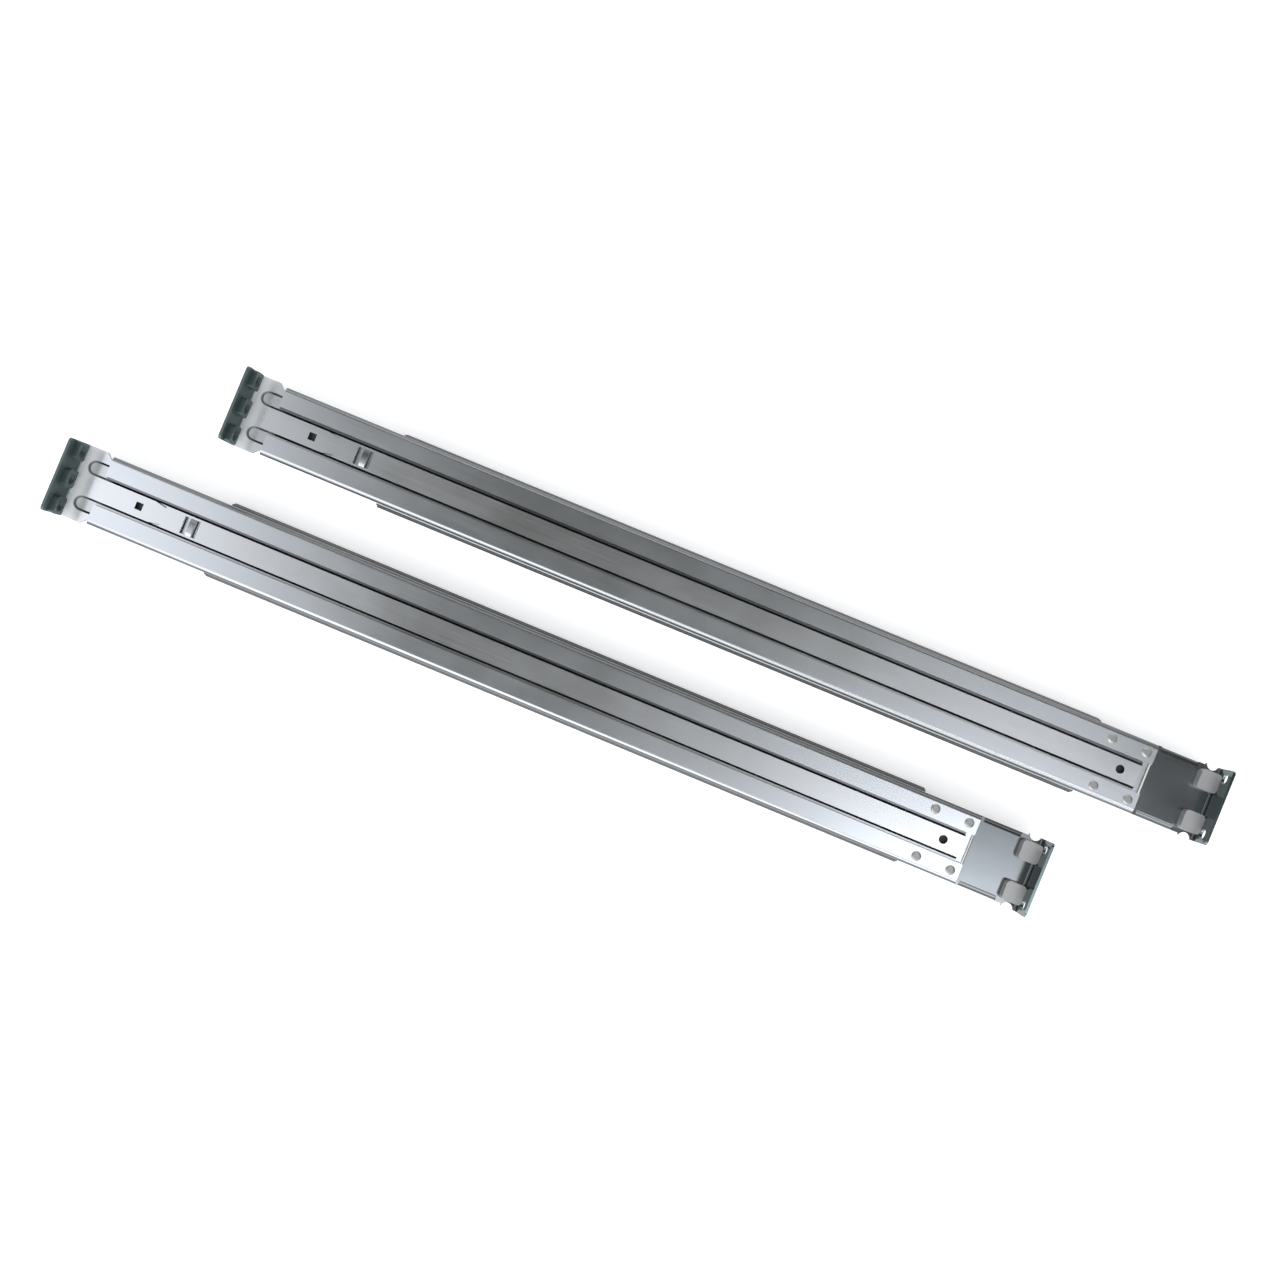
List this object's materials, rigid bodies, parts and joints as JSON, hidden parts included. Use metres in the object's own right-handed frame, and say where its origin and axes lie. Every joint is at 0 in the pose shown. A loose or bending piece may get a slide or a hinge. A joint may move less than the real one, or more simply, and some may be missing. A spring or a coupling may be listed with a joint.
{
  "type": "sliding server rail pair",
  "caption": "Pair of ball-bearing sliding server rails with telescoping rear brackets and rack flanges, laid side by side.",
  "frame": {"origin": "centre of the bottom of the box around both closed rails, on the server-side faces they rest on", "axes": "+X towards the front rack flanges, +Y across from the right rail to the left rail, +Z towards the rack side of the rails"},
  "size_m": [0.6428, 0.1158, 0.034],
  "materials": {
    "zinc_channel": "zinc plated, rolled grain along the rail",
    "zinc_bracket": "zinc plated, rolled grain along the rail",
    "zinc_slide": "zinc plated",
    "front_bracket_steel": "zinc plated, smoother and darker",
    "block_steel": "plated, dull grey",
    "dark_nut": "blackened",
    "rivet_steel": "plated",
    "cage_steel": "plated strip",
    "ball_steel": "polished",
    "black_plastic": "moulded",
    "latch_steel": "plated",
    "spring_steel": "plain"
  },
  "bodies": {
    "rack_side": {"left_guide_channel": "zinc_channel", "left_channel_rivets": "rivet_steel", "left_front_bracket": "front_bracket_steel", "left_front_bracket_rivets": "rivet_steel", "left_front_screw_blocks": "block_steel", "left_outer_member": "zinc_slide", "left_rear_bumper": "black_plastic", "right_guide_channel": "zinc_channel", "right_channel_rivets": "rivet_steel", "right_front_bracket": "front_bracket_steel", "right_front_bracket_rivets": "rivet_steel", "right_front_screw_blocks": "block_steel", "right_outer_member": "zinc_slide", "right_rear_bumper": "black_plastic"},
    "left_rear_bracket_slider": {"left_rear_bracket": "zinc_bracket", "left_rear_weld_nuts": "dark_nut"},
    "left_outer_cage": {"left_outer_ball_cage": "cage_steel", "left_outer_balls": "ball_steel"},
    "left_intermediate": {"left_intermediate_member": "zinc_slide", "left_front_bumper": "black_plastic"},
    "left_inner_cage": {"left_inner_ball_cage": "cage_steel", "left_inner_balls": "ball_steel"},
    "left_inner": {"left_inner_member": "zinc_slide", "left_latch_pivot": "rivet_steel", "left_latch_spring": "spring_steel"},
    "left_latch": {"left_release_latch": "latch_steel"},
    "right_rear_bracket_slider": {"right_rear_bracket": "zinc_bracket", "right_rear_weld_nuts": "dark_nut"},
    "right_outer_cage": {"right_outer_ball_cage": "cage_steel", "right_outer_balls": "ball_steel"},
    "right_intermediate": {"right_intermediate_member": "zinc_slide", "right_front_bumper": "black_plastic"},
    "right_inner_cage": {"right_inner_ball_cage": "cage_steel", "right_inner_balls": "ball_steel"},
    "right_inner": {"right_inner_member": "zinc_slide", "right_latch_pivot": "rivet_steel", "right_latch_spring": "spring_steel"},
    "right_latch": {"right_release_latch": "latch_steel"}
  },
  "joints": [
    {"name": "left_rear_depth_slide", "type": "slide", "parent": "rack_side", "child": "left_rear_bracket_slider", "axis": [-1, 0, 0], "range_m": [0, 0.18]},
    {"name": "left_intermediate_slide", "type": "slide", "parent": "rack_side", "child": "left_intermediate", "axis": [1, 0, 0], "range_m": [0, 0.2]},
    {"name": "left_outer_cage_slide", "type": "slide", "parent": "rack_side", "child": "left_outer_cage", "axis": [1, 0, 0], "range_m": [0, 0.1]},
    {"name": "left_inner_slide", "type": "slide", "parent": "left_intermediate", "child": "left_inner", "axis": [1, 0, 0], "range_m": [0, 0.2]},
    {"name": "left_inner_cage_slide", "type": "slide", "parent": "left_intermediate", "child": "left_inner_cage", "axis": [1, 0, 0], "range_m": [0, 0.1]},
    {"name": "left_latch_pivot_hinge", "type": "hinge", "parent": "left_inner", "child": "left_latch", "pos_m": [0.2238, 0.0359, 0.0023], "axis": [0, 0, 1], "range_deg": [-6, 0], "stiffness_Nm_per_rad": 0.3, "deforming": ["left_latch_spring"]},
    {"name": "right_rear_depth_slide", "type": "slide", "parent": "rack_side", "child": "right_rear_bracket_slider", "axis": [-1, 0, 0], "range_m": [0, 0.18]},
    {"name": "right_intermediate_slide", "type": "slide", "parent": "rack_side", "child": "right_intermediate", "axis": [1, 0, 0], "range_m": [0, 0.2]},
    {"name": "right_outer_cage_slide", "type": "slide", "parent": "rack_side", "child": "right_outer_cage", "axis": [1, 0, 0], "range_m": [0, 0.1]},
    {"name": "right_inner_slide", "type": "slide", "parent": "right_intermediate", "child": "right_inner", "axis": [1, 0, 0], "range_m": [0, 0.2]},
    {"name": "right_inner_cage_slide", "type": "slide", "parent": "right_intermediate", "child": "right_inner_cage", "axis": [1, 0, 0], "range_m": [0, 0.1]},
    {"name": "right_latch_pivot_hinge", "type": "hinge", "parent": "right_inner", "child": "right_latch", "pos_m": [0.15, -0.0359, 0.0023], "axis": [0, 0, 1], "range_deg": [-6, 0], "stiffness_Nm_per_rad": 0.3, "deforming": ["right_latch_spring"]}
  ],
  "couplings": [
    {"joint": "left_outer_cage_slide", "follows": "left_intermediate_slide", "ratio": 0.5},
    {"joint": "left_inner_cage_slide", "follows": "left_inner_slide", "ratio": 0.5},
    {"joint": "right_outer_cage_slide", "follows": "right_intermediate_slide", "ratio": 0.5},
    {"joint": "right_inner_cage_slide", "follows": "right_inner_slide", "ratio": 0.5}
  ]
}
